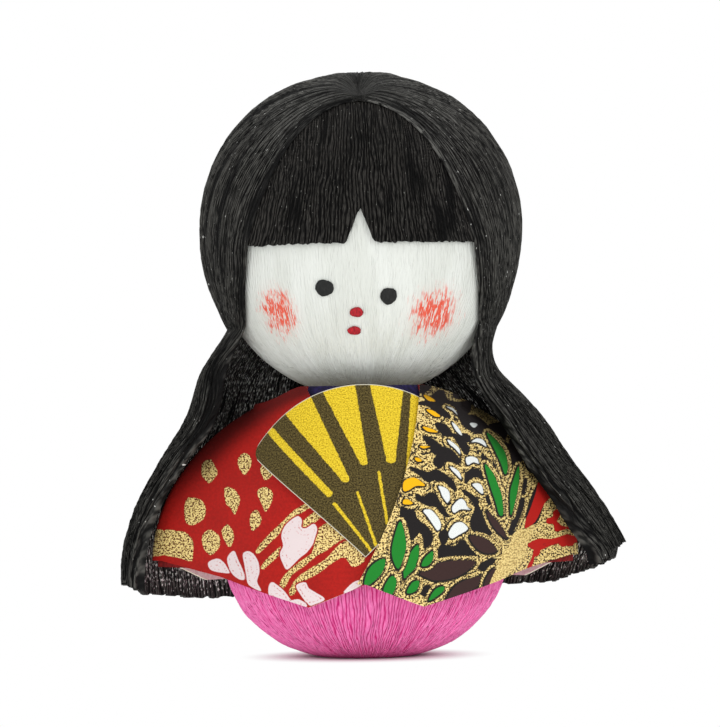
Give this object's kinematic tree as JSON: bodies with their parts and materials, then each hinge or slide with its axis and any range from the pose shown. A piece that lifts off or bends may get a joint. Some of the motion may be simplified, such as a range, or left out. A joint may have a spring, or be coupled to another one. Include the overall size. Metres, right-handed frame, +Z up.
{
  "type": "roly-poly paper doll",
  "caption": "Paper court-lady roly-poly doll with long crepe hair, folded washi sleeves, a fan and a weighted round base that rights itself.",
  "frame": {"origin": "middle of the small flat foot under the round base", "axes": "+Z up through base and head, the face looks along -Y, +X to the right of a person facing it"},
  "size_m": [0.0608, 0.0439, 0.0713],
  "materials": {
    "cast_iron_slug": "matte",
    "pulp_board": "matte",
    "pulp_ball": "matte",
    "bamboo": "satin",
    "white_crepe": "matte",
    "black_crepe": "matte",
    "pink_crepe": "matte",
    "navy_washi": "matte",
    "red_washi": "matte",
    "red_print": "matte print with gold",
    "black_print": "matte print with gold",
    "fan_card": "matte print",
    "black_dot": "matte",
    "red_dot": "matte"
  },
  "bodies": {
    "root": {"weight": "cast_iron_slug", "base_bowl": "pulp_board", "body_dome": "pulp_board", "neck_peg": "bamboo", "head_ball": "pulp_ball", "face_wrap": "white_crepe", "hair_fringe": "black_crepe", "hair_mantle": "black_crepe", "skirt_wrap": "pink_crepe", "under_robe": "navy_washi", "kimono_body": "red_washi", "sleeve_left": "red_print", "sleeve_right": "black_print", "fan": "fan_card", "eye_left": "black_dot", "eye_right": "black_dot", "nose_dot": "red_dot", "mouth_dot": "red_dot"}
  },
  "joints": []
}
